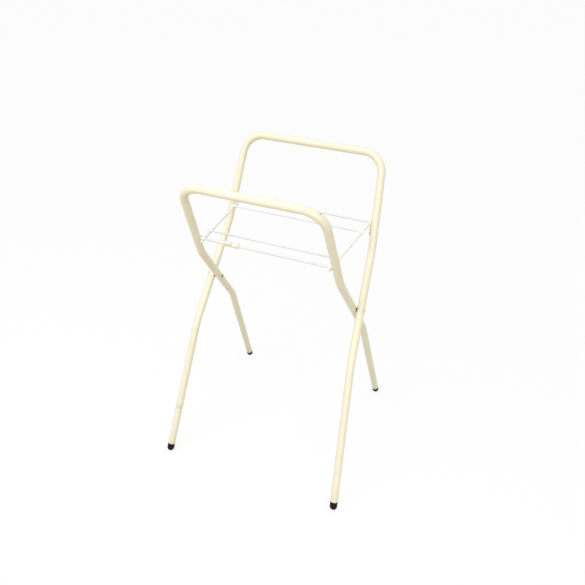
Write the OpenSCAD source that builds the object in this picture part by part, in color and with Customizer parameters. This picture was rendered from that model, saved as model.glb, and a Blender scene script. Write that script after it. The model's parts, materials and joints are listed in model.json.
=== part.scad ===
// Folding baby bath stand: two crossed tube frames joined by rivets, with a wire
// rack that ties their upper halves together and drops as the frames close.
// Millimetres. X runs across the stand, -Y is its front, +Z is up, floor at z = 0.
// The outer frame's feet are at the front, and its top bar is at the back.

/* [Frame tube] */
// Outside diameter of the frame tube
tube_d = 22; // [20:0.5:23]
// Wall thickness of the frame tube
tube_wall = 1.5; // [1.2:0.1:2]
// Distance across the top of the outer frame, leg axis to leg axis
outer_top_width = 411; // [398:1:436]
// Clear distance between an outer leg and the inner leg beside it
frame_gap = 1.2; // [1.1:0.1:2]
// Angle at which the legs spread sideways on their way down
leg_splay = 4.56; // [4:0.01:5.2]

/* [Frame profile] */
// Height of the top bars' axis above the floor
top_height = 905; // [880:1:930]
// Distance of a top bar's axis from the pivot plane
top_reach = 204; // [196:1:212]
// Height of the upper bend's corner point
upper_bend_height = 665; // [654:1:676]
// Distance of the upper bend's corner point from the pivot plane
upper_bend_reach = 103; // [97:1:108]
// Height of the lower bend's corner point
lower_bend_height = 405; // [392:1:418]
// Distance of the lower bend's corner point from the pivot plane
lower_bend_reach = 93; // [86:1:100]
// Distance of a foot from the pivot plane
foot_reach = 267; // [255:1:280]
// Bend radius of the tube axis at the upper bend
upper_bend_radius = 160; // [120:5:180]
// Bend radius of the tube axis at the lower bend
lower_bend_radius = 130; // [100:5:200]
// Bend radius of the tube axis where a leg meets the top bar
corner_radius = 58; // [50:1:65]

/* [Pivot rivets] */
// Diameter of a pivot rivet's shank
rivet_d = 6; // [5:0.5:7]
// Radial clearance of the rivet in the inner frame
rivet_clearance = 0.05; // [0.03:0.01:0.1]
// Diameter of a pivot rivet's heads
rivet_head_d = 9; // [8:0.5:12]
// Height of a pivot rivet's domed head
rivet_head_height = 1.4; // [1.2:0.1:2.4]
// Gap between a rivet head and the nearest point of the sloping tube
rivet_head_play = 0.1; // [0.1:0.05:0.3]
// Diameter of the spacer between the two tubes at a pivot
spacer_d = 14; // [12:0.5:15]
// Gap between the spacer's rim and the inner tube, which slopes past it as it turns
spacer_play = 0.06; // [0.04:0.01:0.1]

/* [Foot plugs] */
// How far the tube stands out past the plug all round
plug_step = 0.1; // [0:0.1:0.8]
// Width of the flat that a plug stands on
plug_flat = 10; // [6:0.5:12]
// Length of the plain part between the round end and the tube
plug_collar = 16; // [12:0.5:20]
// Length of the stem inside the tube
plug_stem = 22; // [15:1:30]

/* [Wire rack] */
// Diameter of the front, rear and end wires
rim_wire_d = 7; // [6:0.1:7.6]
// Diameter of the second and third wires, between the front and the rear
mid_wire_d = 5.5; // [4.5:0.1:6]
// Height of the front wire's axis, which is the rack's hinge line, above the upper bends
rack_above_bend = 61; // [54:1:68]
// Gap between an end wire and the bush in front of which it starts
end_wire_bush_gap = 0.5; // [0.4:0.1:3]
// Gap between an end wire and the seat plate at the rear
end_wire_seat_gap = 1.2; // [1:0.1:4]
// Distance from the front wire to the second wire
second_wire_step = 47; // [42:1:56]
// Distance from the rear wire to the third wire
third_wire_step = 63; // [56:1:70]
// Rise of the rear wire above the front wire
rear_wire_rise = 4; // [2:0.5:6]
// Distance of the rear wire behind the axis of the outer legs
rear_wire_back = 9.5; // [9:0.1:10.5]
// Depth to which a wire is welded into an end wire below it
weld_depth = 0.6; // [0.4:0.1:1]
// How far the rack drops for each degree that the frames close
rack_drop_ratio = 0.5; // [0.45:0.01:0.55]

/* [Rack sleeve] */
// Outside diameter of the sleeve on the front wire
sleeve_d = 13; // [11:0.5:14]
// Length of the sleeve
sleeve_length = 42; // [34:1:50]
// Distance from the left end wire's axis to the sleeve
sleeve_inset = 66; // [58:1:76]

/* [Rack bushes] */
// Diameter of a bush in the inner leg's wall
bush_d = 10; // [9.5:0.1:11]
// Diameter of a bush's flange
bush_flange_d = 13; // [12:0.5:14]
// Thickness of a bush's flange
bush_flange = 1.5; // [1.2:0.1:2]
// Radial clearance of the front wire in its bushes
bush_clearance = 0.05; // [0.03:0.01:0.1]
// Distance that the bush and the wire end reach past the tube wall
bush_reach = 3; // [2:0.5:4]

/* [Rack seats] */
// Thickness of the seat plate on an outer leg
seat_thickness = 2.4; // [2:0.1:3]
// Width of the seat plate's strip
seat_width = 14; // [12:0.5:15]
// Length of the strip below the rear wire
seat_drop = 32; // [28:1:36]
// Length of the seat plate above the rear wire
seat_rise = 10; // [9:0.5:12]
// Material left behind the rear wire in the seat plate
seat_back = 6; // [5:0.5:8]
// Gap between the rear wire and the seat's slot
seat_play = 0.3; // [0.2:0.05:0.5]
// Diameter of a seat rivet's shank
seat_rivet_d = 5; // [4:0.5:5.5]
// Diameter of a seat rivet's head
seat_rivet_head_d = 9; // [8:0.5:10]
// Height of a seat rivet's head
seat_rivet_head = 1.4; // [1:0.1:1.6]

/* [Hidden] */
$fn = 96;

// Tube: a bend is slightly thicker than the straight lengths, whose ends reach into it.
tube_facets = 48;
bend_swell = 0.05;
bend_overlap = 1;
tube_r = tube_d / 2;
bore_r = tube_r - tube_wall;
outer_half = outer_top_width / 2;
inner_half = outer_half - tube_d - frame_gap;

// Leg profile in a leg's own plane: [distance back, height], the top corner at height 0.
plane_stretch = 1 / cos(leg_splay);
p_foot = [-foot_reach, -top_height * plane_stretch];
p_low = [-lower_bend_reach, (lower_bend_height - top_height) * plane_stretch];
p_high = [upper_bend_reach, (upper_bend_height - top_height) * plane_stretch];
p_top = [top_reach, 0];
dir_foot = heading(p_foot, p_low);
dir_mid = heading(p_low, p_high);
dir_top = heading(p_high, p_top);
low_tangent = lower_bend_radius * tan((dir_foot - dir_mid) / 2);
high_tangent = upper_bend_radius * tan((dir_top - dir_mid) / 2);

// Loop plane, which holds the top bar and the upper part of both legs
loop_lean = atan2(top_reach - upper_bend_reach, top_height - upper_bend_height);
loop_run = norm([top_reach - upper_bend_reach, top_height - upper_bend_height]);
loop_drift = (top_height - upper_bend_height) * tan(leg_splay);
loop_heading = 90 + atan2(loop_drift, loop_run);
corner_turn = 180 - loop_heading;
corner_tangent = corner_radius * tan(corner_turn / 2);

// Pivot axis, where the two leg profiles cross
pivot_height = lower_bend_height + (upper_bend_height - lower_bend_height)
    * lower_bend_reach / (lower_bend_reach + upper_bend_reach);
pivot_outer_x = outer_half + (top_height - pivot_height) * tan(leg_splay);
pivot_inner_x = pivot_outer_x - tube_d - frame_gap;
head_relief = rivet_head_d / 2 * tan(leg_splay) + rivet_head_play;
rivet_out = pivot_outer_x + tube_r + head_relief;
rivet_in = pivot_inner_x - tube_r - head_relief;
spacer_thickness = frame_gap * cos(leg_splay) - spacer_d / 2 * tan(leg_splay) - spacer_play;

// Foot plugs, measured along the lowest part of the leg from the floor point
foot_rise = sin(dir_foot) * cos(leg_splay);
plug_r = tube_r - plug_step;
plug_centre = sqrt(plug_r * plug_r - plug_flat * plug_flat / 4) / foot_rise;
tube_start = plug_centre + plug_collar;

// Rack
rim_wire_r = rim_wire_d / 2;
mid_wire_r = mid_wire_d / 2;
mid_wire_drop = rim_wire_r - mid_wire_r;
rack_height = upper_bend_height + rack_above_bend;
hinge_y = -leg_y(rack_height);
hinge_x = inner_half + (top_height - rack_height) * tan(leg_splay);
rear_height = rack_height + rear_wire_rise;
rear_y = leg_y(rear_height) + rear_wire_back;
rear_leg_x = outer_half + (top_height - rear_height) * tan(leg_splay);
bush_end = hinge_x - tube_r - bush_flange_d / 2 * tan(leg_splay);
rack_front_half = bush_end - bush_flange - end_wire_bush_gap - rim_wire_r;
seat_inner_x = rear_leg_x - (tube_r + seat_thickness) / cos(leg_splay);
rack_rear_half = seat_inner_x - end_wire_seat_gap - rim_wire_r;
rack_depth = norm([rear_y - hinge_y, rear_wire_rise]);
rack_slope = atan2(rear_wire_rise, rear_y - hinge_y);
third_wire_at = rack_depth - third_wire_step;
end_drop = rim_wire_d - weld_depth;
end_turn = atan2(rack_rear_half - rack_front_half, rack_depth);
end_overrun = rim_wire_r;
end_length = rack_depth / cos(end_turn) + 2 * end_overrun;
hinge_wire_half = hinge_x - bore_r + bush_reach;

// Rear seats: the slot follows the rear wire's first move as the frames close
slot_run = rack_height - pivot_height + (1 + rack_drop_ratio) * rear_wire_rise;
slot_fall = (1 + rack_drop_ratio) * (rear_y - hinge_y) + hinge_y;
slot_fall_angle = atan2(slot_fall, slot_run);
rear_wire_half = seat_inner_x + seat_thickness * 0.7;
seat_shift = rear_wire_back * cos(90 - dir_top);
seat_lift = rear_wire_back * sin(90 - dir_top);
slot_r = rim_wire_r + seat_play;
slot_length = 40;
seat_rivet_drop = seat_drop - seat_width / 2;

function heading(a, b) = atan2(b[1] - a[1], b[0] - a[0]);
function ray(angle) = [cos(angle), sin(angle)];
function leg_y(z) = upper_bend_reach + (top_reach - upper_bend_reach)
    * (z - upper_bend_height) / (top_height - upper_bend_height);

outer_frame();
inner_frame();
pivot_rivet_left();
pivot_rivet_right();
pivot_spacer_left();
pivot_spacer_right();
foot_plug_front_left();
foot_plug_front_right();
foot_plug_rear_left();
foot_plug_rear_right();
rack_wire_front();
rack_wire_second();
rack_wire_third();
rack_wire_rear();
rack_end_wire_left();
rack_end_wire_right();
rack_sleeve();
rack_bush_left();
rack_bush_right();
rack_seat_left();
rack_seat_right();
seat_rivet_left();
seat_rivet_right();

// Wider tube frame: feet at the front, top bar at the back.
module outer_frame() {
    color("ivory")
    difference() {
        bent_frame(outer_half);
        both_sides() pivot_hole(pivot_outer_x, 0);
        both_sides() on_leg(outer_half) seat_rivet_shank();
    }
}

// Narrower tube frame: feet at the back, top bar at the front.
module inner_frame() {
    color("ivory")
    difference() {
        mirror([0, 1, 0]) bent_frame(inner_half);
        both_sides() pivot_hole(pivot_inner_x, rivet_clearance);
        both_sides() bush_body(hinge_x - tube_d, hinge_x, bush_d / 2);
    }
}

module pivot_rivet_left() {
    color("dimgray") mirror([1, 0, 0]) pivot_rivet();
}

module pivot_rivet_right() {
    color("dimgray") pivot_rivet();
}

module pivot_spacer_left() {
    color("black") mirror([1, 0, 0]) pivot_spacer();
}

module pivot_spacer_right() {
    color("black") pivot_spacer();
}

module foot_plug_front_left() {
    color("black") mirror([1, 0, 0]) foot_plug(outer_half);
}

module foot_plug_front_right() {
    color("black") foot_plug(outer_half);
}

module foot_plug_rear_left() {
    color("black") mirror([0, 1, 0]) mirror([1, 0, 0]) foot_plug(inner_half);
}

module foot_plug_rear_right() {
    color("black") mirror([0, 1, 0]) foot_plug(inner_half);
}

// Hinge wire of the rack. Its ends turn in the bushes.
module rack_wire_front() {
    color("white") on_rack(0) wire(hinge_wire_half, rim_wire_r);
}

module rack_wire_second() {
    color("white") mid_wire(second_wire_step, rack_half(second_wire_step) + mid_wire_r);
}

module rack_wire_third() {
    color("white") mid_wire(third_wire_at, rack_half(third_wire_at) + mid_wire_r);
}

// Its ends stand out past the end wires, into the seats' slots.
module rack_wire_rear() {
    color("white") on_rack(rack_depth) wire(rear_wire_half, rim_wire_r);
}

module rack_end_wire_left() {
    color("white") mirror([1, 0, 0]) rack_end_wire();
}

module rack_end_wire_right() {
    color("white") rack_end_wire();
}

// Short tube on the front wire, near its left end.
module rack_sleeve() {
    color("wheat")
    translate([sleeve_inset - rack_front_half, hinge_y, rack_height])
    rotate([0, 90, 0])
    difference() {
        cylinder(h = sleeve_length, r = sleeve_d / 2);
        translate([0, 0, -1]) cylinder(h = sleeve_length + 2, r = rim_wire_r);
    }
}

module rack_bush_left() {
    color("white") mirror([1, 0, 0]) rack_bush();
}

module rack_bush_right() {
    color("white") rack_bush();
}

module rack_seat_left() {
    color("ivory") mirror([1, 0, 0]) rack_seat();
}

module rack_seat_right() {
    color("ivory") rack_seat();
}

module seat_rivet_left() {
    color("silver") mirror([1, 0, 0]) seat_rivet();
}

module seat_rivet_right() {
    color("silver") seat_rivet();
}

module both_sides() {
    children();
    mirror([1, 0, 0]) children();
}

// Right leg's plane: local Y runs back, local Z runs up the leg, local X points outward.
module on_leg(half) {
    translate([half, 0, top_height])
    rotate([0, -leg_splay, 0])
    children();
}

// One frame with its feet at the front: a bent rod with a thinner bent rod taken out.
module bent_frame(half) {
    $fn = tube_facets;
    difference() {
        bent_rod(half, tube_r, tube_start);
        bent_rod(half, bore_r, tube_start - tube_d);
    }
}

module bent_rod(half, radius, start) {
    both_sides() {
        on_leg(half) {
            straight_rod(p_foot + start * ray(dir_foot), p_low - low_tangent * ray(dir_foot), radius);
            bend_rod(p_low, dir_foot, dir_mid, lower_bend_radius, radius);
            straight_rod(p_low + low_tangent * ray(dir_mid), p_high - high_tangent * ray(dir_mid), radius);
            bend_rod(p_high, dir_mid, dir_top, upper_bend_radius, radius);
            straight_rod(p_high + high_tangent * ray(dir_top), p_top - corner_tangent * ray(dir_top), radius);
        }
        loop_corner(half, radius);
    }
    translate([corner_tangent - bend_overlap - half, top_reach, top_height])
    rotate([0, 90, 0])
    cylinder(h = 2 * (half - corner_tangent + bend_overlap), r = radius);
}

// Straight rod between two points of a leg's plane, with its upper end in the next bend.
module straight_rod(a, b, radius) {
    lead = a[1] < p_low[1] - low_tangent ? 0 : bend_overlap;
    translate([0, a[0], a[1]])
    rotate([heading(a, b) - 90, 0, 0])
    translate([0, 0, -lead])
    cylinder(h = norm(b - a) + lead + bend_overlap, r = radius);
}

// Bend of a leg at a corner point, from one heading to the next.
module bend_rod(corner, from, to, bend_radius, radius) {
    turn = to - from;
    side = sign(turn);
    start = corner - bend_radius * tan(abs(turn) / 2) * ray(from);
    centre = start + bend_radius * ray(from + side * 90);
    translate([0, centre[0], centre[1]])
    rotate([90, 0, 90])
    rotate([0, 0, turn > 0 ? from - 90 : to + 90])
    rotate_extrude(angle = abs(turn))
    translate([bend_radius, 0])
    circle(radius + bend_swell);
}

// Bend between the right leg and the top bar.
module loop_corner(half, radius) {
    start = [half, 0] - corner_tangent * ray(loop_heading);
    centre = start + corner_radius * ray(loop_heading + 90);
    translate([0, top_reach, top_height])
    rotate([-loop_lean, 0, 0])
    translate([centre[0], 0, centre[1]])
    rotate([90, 0, 0])
    rotate([0, 0, loop_heading - 90])
    rotate_extrude(angle = corner_turn)
    translate([corner_radius, 0])
    circle(radius + bend_swell);
}

module pivot_hole(x, clearance) {
    translate([x - tube_d, 0, pivot_height])
    rotate([0, 90, 0])
    cylinder(h = 2 * tube_d, r = rivet_d / 2 + clearance);
}

// Rivet through both right legs, with a domed head at each end.
module pivot_rivet() {
    translate([0, 0, pivot_height])
    rotate([0, 90, 0]) {
        translate([0, 0, rivet_in - rivet_d / 6])
        cylinder(h = rivet_out - rivet_in + rivet_d / 3, r = rivet_d / 2);
        translate([0, 0, rivet_out]) domed_head(rivet_head_d / 2, rivet_head_height);
        translate([0, 0, rivet_in]) mirror([0, 0, 1]) domed_head(rivet_head_d / 2, rivet_head_height);
    }
}

// Round head with a cylindrical rim and a spherical top.
module domed_head(radius, height) {
    rim = height * 0.35;
    dome = height - rim;
    ball = (radius * radius + dome * dome) / (2 * dome);
    rotate_extrude()
    intersection() {
        translate([0, height - ball]) circle(ball);
        square([radius, height]);
    }
}

// Washer that lies against the outer tube.
module pivot_spacer() {
    difference() {
        on_leg(outer_half)
        translate([-tube_r - spacer_thickness, 0, (pivot_height - top_height) * plane_stretch])
        rotate([0, 90, 0])
        cylinder(h = spacer_thickness, r = spacer_d / 2);
        pivot_hole(pivot_outer_x - tube_d, rivet_clearance);
    }
}

// Right front plug: stem in the tube, plain collar, and a round end that stands on the floor.
module foot_plug(half) {
    difference() {
        on_leg(half)
        translate([0, p_foot[0], p_foot[1]])
        rotate([dir_foot - 90, 0, 0])
        plug_body();
        translate([half, -foot_reach - tube_d * 2, -tube_d])
        cube([outer_half, tube_d * 4, tube_d]);
    }
}

module plug_body() {
    rotate_extrude()
    intersection() {
        union() {
            translate([0, plug_centre]) circle(plug_r);
            translate([0, plug_centre]) square([plug_r, plug_collar]);
            translate([0, tube_start]) square([bore_r, plug_stem]);
        }
        translate([0, plug_centre - tube_d]) square([tube_d, tube_d + plug_collar + plug_stem]);
    }
}

function rack_half(step) = rack_front_half + (rack_rear_half - rack_front_half) * step / rack_depth;

// Rack plane: local Y runs back from the hinge line.
module on_rack(step) {
    translate([0, hinge_y, rack_height])
    rotate([rack_slope, 0, 0])
    translate([0, step, 0])
    children();
}

module wire(half, radius) {
    translate([-half, 0, 0]) rotate([0, 90, 0]) cylinder(h = 2 * half, r = radius);
}

// Thinner wire, lowered so that it rests on the end wires like the front and rear wires.
module mid_wire(step, half) {
    on_rack(step) translate([0, 0, -mid_wire_drop]) wire(half, mid_wire_r);
}

// Right end wire, under the other wires and grooved where they are welded to it.
module rack_end_wire() {
    difference() {
        on_rack(0)
        translate([rack_front_half, 0, -end_drop])
        rotate([-90, 0, -end_turn])
        translate([0, 0, -end_overrun])
        cylinder(h = end_length, r = rim_wire_r);
        for (step = [0, rack_depth]) on_rack(step) wire(outer_half, rim_wire_r);
        for (step = [second_wire_step, third_wire_at]) mid_wire(step, outer_half);
    }
}

module bush_body(from, to, radius) {
    translate([from, hinge_y, rack_height])
    rotate([0, 90, 0])
    cylinder(h = to - from, r = radius);
}

// Bush in the right inner leg: its flange stands clear of the sloping tube.
module rack_bush() {
    difference() {
        union() {
            bush_body(bush_end - bush_flange, bush_end, bush_flange_d / 2);
            bush_body(bush_end - bush_flange, hinge_wire_half, bush_d / 2);
        }
        bush_body(bush_end - bush_flange - 1, hinge_wire_half + 1, rim_wire_r + bush_clearance);
    }
}

// Leg frame moved to the leg's axis at the rear wire's height: local Y back, local Z up the leg.
module at_seat() {
    translate([0, leg_y(rear_height), (rear_height - top_height) * plane_stretch])
    rotate([dir_top - 90, 0, 0])
    children();
}

// Plate on the inner side of the right outer leg, with a slanted slot for the rear wire.
module rack_seat() {
    difference() {
        on_leg(outer_half)
        at_seat()
        translate([-tube_r, 0, 0])
        rotate([0, -90, 0])
        linear_extrude(seat_thickness)
        seat_outline();
        on_rack(rack_depth)
        rotate([-rack_slope - slot_fall_angle, 0, 0])
        seat_slot();
        on_leg(outer_half) seat_rivet_shank();
    }
}

// Outline with X up the leg and Y back.
module seat_outline() {
    translate([-seat_drop + seat_width / 2, -seat_width / 2])
    square([seat_drop + seat_rise - seat_width / 2, seat_width]);
    translate([-seat_drop + seat_width / 2, 0]) circle(seat_width / 2);
    translate([seat_lift - seat_rise, 0])
    square([2 * seat_rise - seat_lift, seat_shift + slot_r + seat_back]);
}

// Slot that runs down and back from the rear wire, open at the plate's edge.
module seat_slot() {
    rotate([0, 90, 0]) cylinder(h = outer_top_width, r = slot_r);
    translate([0, 0, -slot_r]) cube([outer_top_width, slot_length, 2 * slot_r]);
}

module seat_rivet_shank() {
    at_seat()
    translate([-tube_r - seat_thickness, 0, -seat_rivet_drop])
    rotate([0, 90, 0])
    cylinder(h = seat_thickness + tube_r, r = seat_rivet_d / 2);
}

// Blind rivet through the right seat plate and the tube wall behind it.
module seat_rivet() {
    on_leg(outer_half) {
        seat_rivet_shank();
        at_seat()
        translate([-tube_r - seat_thickness, 0, -seat_rivet_drop])
        rotate([0, -90, 0])
        domed_head(seat_rivet_head_d / 2, seat_rivet_head);
    }
}
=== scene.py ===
"""Folding baby bath stand: finishes, small fittings, floor, light and camera."""

import json
import math

import bmesh
import bpy
from bpy.props import FloatProperty, FloatVectorProperty, PointerProperty
from mathutils import Matrix, Vector, noise

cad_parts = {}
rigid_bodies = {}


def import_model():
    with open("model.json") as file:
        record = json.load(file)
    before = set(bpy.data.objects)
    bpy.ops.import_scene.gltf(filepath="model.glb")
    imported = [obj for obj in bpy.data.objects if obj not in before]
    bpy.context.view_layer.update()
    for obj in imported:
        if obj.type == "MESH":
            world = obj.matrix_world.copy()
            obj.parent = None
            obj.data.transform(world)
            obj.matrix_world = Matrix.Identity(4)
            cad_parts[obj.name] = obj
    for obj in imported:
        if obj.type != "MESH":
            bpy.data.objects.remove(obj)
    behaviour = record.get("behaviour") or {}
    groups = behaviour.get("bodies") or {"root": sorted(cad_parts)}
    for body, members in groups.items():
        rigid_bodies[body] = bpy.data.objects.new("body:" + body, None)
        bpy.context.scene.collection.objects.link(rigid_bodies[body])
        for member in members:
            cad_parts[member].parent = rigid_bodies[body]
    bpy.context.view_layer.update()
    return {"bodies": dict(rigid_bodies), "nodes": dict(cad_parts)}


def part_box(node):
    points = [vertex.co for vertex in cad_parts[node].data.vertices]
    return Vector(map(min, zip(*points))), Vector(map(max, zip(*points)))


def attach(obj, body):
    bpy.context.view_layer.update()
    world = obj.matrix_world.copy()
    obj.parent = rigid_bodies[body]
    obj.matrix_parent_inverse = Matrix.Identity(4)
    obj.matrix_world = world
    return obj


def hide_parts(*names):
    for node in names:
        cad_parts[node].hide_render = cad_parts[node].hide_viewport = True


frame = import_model()

bl_info = {
    "name": "Folding baby bath stand",
    "version": (1, 0, 0),
    "blender": (4, 5, 0),
    "location": "View3D > Sidebar > Bath stand",
    "description": "Finishes and fittings for a folding baby bath stand",
    "category": "Object",
}

RIVET_LOW, RIVET_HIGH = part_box("pivot_rivet_right")
BUSH_LOW, BUSH_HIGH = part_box("rack_bush_right")
SLEEVE_LOW, SLEEVE_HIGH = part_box("rack_sleeve")
HINGE_LOW, HINGE_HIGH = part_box("rack_wire_front")
REAR_LOW, REAR_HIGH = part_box("rack_wire_rear")
SECOND_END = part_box("rack_wire_second")[1].x
THIRD_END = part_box("rack_wire_third")[1].x
SIDES = {"left": -1, "right": 1}


def number(name, description, default, low=0.0, **settings):
    return FloatProperty(name=name, description=description, default=default, min=low, **settings)


def length(name, description, default, low=0.0):
    return number(name, description, default, low, unit="LENGTH", precision=5)


def share(name, description, default):
    return number(name, description, default, max=1.0, subtype="FACTOR")


def power(name, description, default):
    return number(name, description, default, unit="POWER")


def angle(name, description, degrees):
    return FloatProperty(name=name, description=description, default=math.radians(degrees),
                         unit="ROTATION", precision=4)


def colour(name, description, default):
    return FloatVectorProperty(name=name, description=description, default=default,
                               size=3, min=0.0, max=1.0, subtype="COLOR")


def spot(name, description, default):
    return FloatVectorProperty(name=name, description=description, default=default,
                               size=3, subtype="TRANSLATION", unit="LENGTH")


class StandTubeProps(bpy.types.PropertyGroup):
    """Tube frames: the lines that the fittings sit on, and the paint."""
    tube_radius: length("Tube radius", "Outside radius of the frame tube", 0.011)
    bore_radius: length("Bore radius", "Inside radius of the frame tube", 0.0095)
    outer_half: length("Outer half width", "Half the outer frame's width at its top bar", 0.2055)
    inner_half: length("Inner half width", "Half the inner frame's width at its top bar", 0.1823)
    splay: angle("Splay", "Angle at which the legs spread sideways", 4.56)
    top_height: length("Top bar height", "Height of the top bars' axis", 0.905)
    top_reach: length("Top bar reach", "Distance of a top bar from the pivot plane", 0.204)
    upper_height: length("Upper bend height", "Height of the upper bend", 0.665)
    upper_reach: length("Upper bend reach", "Distance of the upper bend from the pivot plane", 0.103)
    lower_height: length("Lower bend height", "Height of the lower bend", 0.405)
    lower_reach: length("Lower bend reach", "Distance of the lower bend from the pivot plane", 0.093)
    foot_reach: length("Foot reach", "Distance of a foot from the pivot plane", 0.267)
    paint: colour("Paint", "Cream paint", (0.932, 0.884, 0.698))
    paint_warm: colour("Warm patches", "Cream paint where it lies thicker", (0.920, 0.864, 0.660))
    # The dust colour also serves as painted shade between the tubes round the pivot.
    dust: colour("Dust", "Dust and rubbed marks on the paint", (0.430, 0.385, 0.270))
    primer: colour("Primer", "Primer that shows in a chip", (0.120, 0.095, 0.065))
    roughness: share("Paint roughness", "Roughness of the cream paint", 0.27)
    peel: length("Orange peel", "Size of the ripples in the sprayed paint", 0.0022)
    ring_height: length("Ring mark height", "Height of the rubbed ring on the front left leg", 0.145)
    ring_width: length("Ring mark width", "Width of the rubbed ring", 0.012)
    chip_size: length("Chip size", "Radius of the paint chip at the front bar's right bend", 0.0027)
    chip_offset: spot("Chip place", "Place of the chip from the corner of the front bar's axis",
                      (-0.0094, 0.005, -0.004))


class StandPivotProps(bpy.types.PropertyGroup):
    """Pivot rivets and the spacers between the tubes."""
    height: length("Pivot height", "Height of the pivot axis", (RIVET_LOW.z + RIVET_HIGH.z) / 2)
    outer_end: length("Outer end", "Distance of the outer head's top from the middle", RIVET_HIGH.x)
    inner_end: length("Inner end", "Distance of the inner head's top from the middle", RIVET_LOW.x)
    head_radius: length("Head radius", "Radius of a rivet head", 0.0045)
    head_height: length("Head height", "Height of a rivet head", 0.0014)
    shank_radius: length("Shank radius", "Radius of the rivet's shank", 0.003)
    spacer_radius: length("Spacer radius", "Radius of the spacer", 0.007)
    spacer_thickness: length("Spacer thickness", "Thickness of the spacer", 0.000578)
    plastic: colour("Spacer plastic", "Dark plastic of the spacers", (0.042, 0.035, 0.026))
    steel: colour("Rivet steel", "Dark oiled steel", (0.150, 0.125, 0.085))
    steel_worn: colour("Worn steel", "Steel where the dark finish is rubbed off", (0.300, 0.270, 0.210))
    steel_roughness: share("Rivet roughness", "Roughness of the rivet steel", 0.42)


class StandPlugProps(bpy.types.PropertyGroup):
    """Foot plugs in the ends of the tubes."""
    step: length("Step", "How far the tube stands out past the plug", 0.0001)
    flat: length("Standing flat", "Width of the flat that a plug stands on", 0.010)
    collar: length("Collar", "Length of the plain part between dome and tube", 0.016)
    stem: length("Stem", "Length of the stem inside the tube", 0.022)
    rubber: colour("Rubber", "Black rubber", (0.0070, 0.0066, 0.0055))
    rubber_dusty: colour("Dusty rubber", "Rubber with floor dust", (0.024, 0.022, 0.018))
    roughness: share("Rubber roughness", "Roughness of the rubber", 0.48)


class StandRackProps(bpy.types.PropertyGroup):
    """Wire rack, its welds, sleeve and bushes."""
    rim_radius: length("Rim wire radius", "Radius of the front, rear and end wires", 0.0035)
    mid_radius: length("Middle wire radius", "Radius of the second and third wires", 0.00275)
    hinge_half: length("Hinge wire half length", "Half the length of the front wire", HINGE_HIGH.x)
    rear_half: length("Rear wire half length", "Half the length of the rear wire", REAR_HIGH.x)
    hinge_y: length("Hinge place", "Place of the front wire from front to back",
                    (HINGE_LOW.y + HINGE_HIGH.y) / 2, low=-1.0)
    hinge_height: length("Hinge height", "Height of the front wire", (HINGE_LOW.z + HINGE_HIGH.z) / 2)
    rear_y: length("Rear wire place", "Place of the rear wire from front to back",
                   (REAR_LOW.y + REAR_HIGH.y) / 2)
    rear_height: length("Rear wire height", "Height of the rear wire", (REAR_LOW.z + REAR_HIGH.z) / 2)
    second_half: length("Second wire half length", "Half the length of the second wire", SECOND_END)
    third_half: length("Third wire half length", "Half the length of the third wire", THIRD_END)
    second_step: length("Second wire step", "Distance from the front wire to the second wire", 0.047)
    third_step: length("Third wire step", "Distance from the rear wire to the third wire", 0.063)
    end_drop: length("End wire drop", "Distance of the end wires under the front wire", 0.0064)
    weld_spread: length("Weld spread", "How far the coating is thickened round a weld", 0.0078)
    coating: colour("Coating", "White dip coating on the crosswise wires", (0.862, 0.872, 0.872))
    # The end coating is a creamier tone of the dip coat, made lighter as painted light on the end wires and
    # welds.
    end_coating_with_painted_light: colour("End coating", "Creamier, thicker coating on the end wires and welds",
                        (0.945, 0.940, 0.905))
    coating_roughness: share("Coating roughness", "Roughness of the coating", 0.34)
    sleeve_radius: length("Sleeve radius", "Outside radius of the sleeve", 0.0065)
    sleeve: colour("Sleeve", "Pale cream plastic of the sleeve", (0.930, 0.872, 0.745))
    sleeve_lip: colour("Sleeve lip", "Sleeve plastic above the groove", (0.915, 0.885, 0.730))
    groove: length("Groove", "Width and depth of the groove in the sleeve", 0.0015)
    groove_end: share("Groove end", "Where the groove turns up, as a share of the sleeve's length", 0.54)
    groove_turn: angle("Groove turn", "Place of the groove round the sleeve", 254)
    # This colour is painted shade in the bottom of the sleeve's groove.
    floor_grime_and_groove_shade: colour("Grime", "Dirt in the sleeve's groove", (0.230, 0.190, 0.130))
    bush_flange: length("Bush flange", "Thickness of a bush's flange", 0.0015)
    flange_radius: length("Flange radius", "Radius of a bush's flange", 0.0065)
    bush_radius: length("Bush radius", "Radius of a bush in the tube wall", 0.005)
    nylon: colour("Nylon", "Off-white nylon of the bushes", (0.850, 0.810, 0.660))


class StandSeatProps(bpy.types.PropertyGroup):
    """Seat plates on the outer legs and the blind rivets that hold them."""
    edge: length("Edge round", "Rounding of the plate's edges", 0.00045)
    thickness: length("Plate thickness", "Thickness of the seat plate", 0.0024)
    rivet_drop: length("Rivet drop", "Distance of the blind rivet under the rear wire", 0.025)
    rivet_radius: length("Rivet radius", "Radius of a blind rivet's head", 0.0045)
    rivet_shank: length("Rivet shank", "Radius of a blind rivet's shank", 0.0025)
    rivet_height: length("Rivet head", "Height of a blind rivet's head", 0.0014)
    steel: colour("Rivet steel", "Bright plated steel of the blind rivets", (0.560, 0.545, 0.510))
    steel_dull: colour("Dull steel", "Plated steel where it has gone dull", (0.380, 0.365, 0.330))


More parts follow.
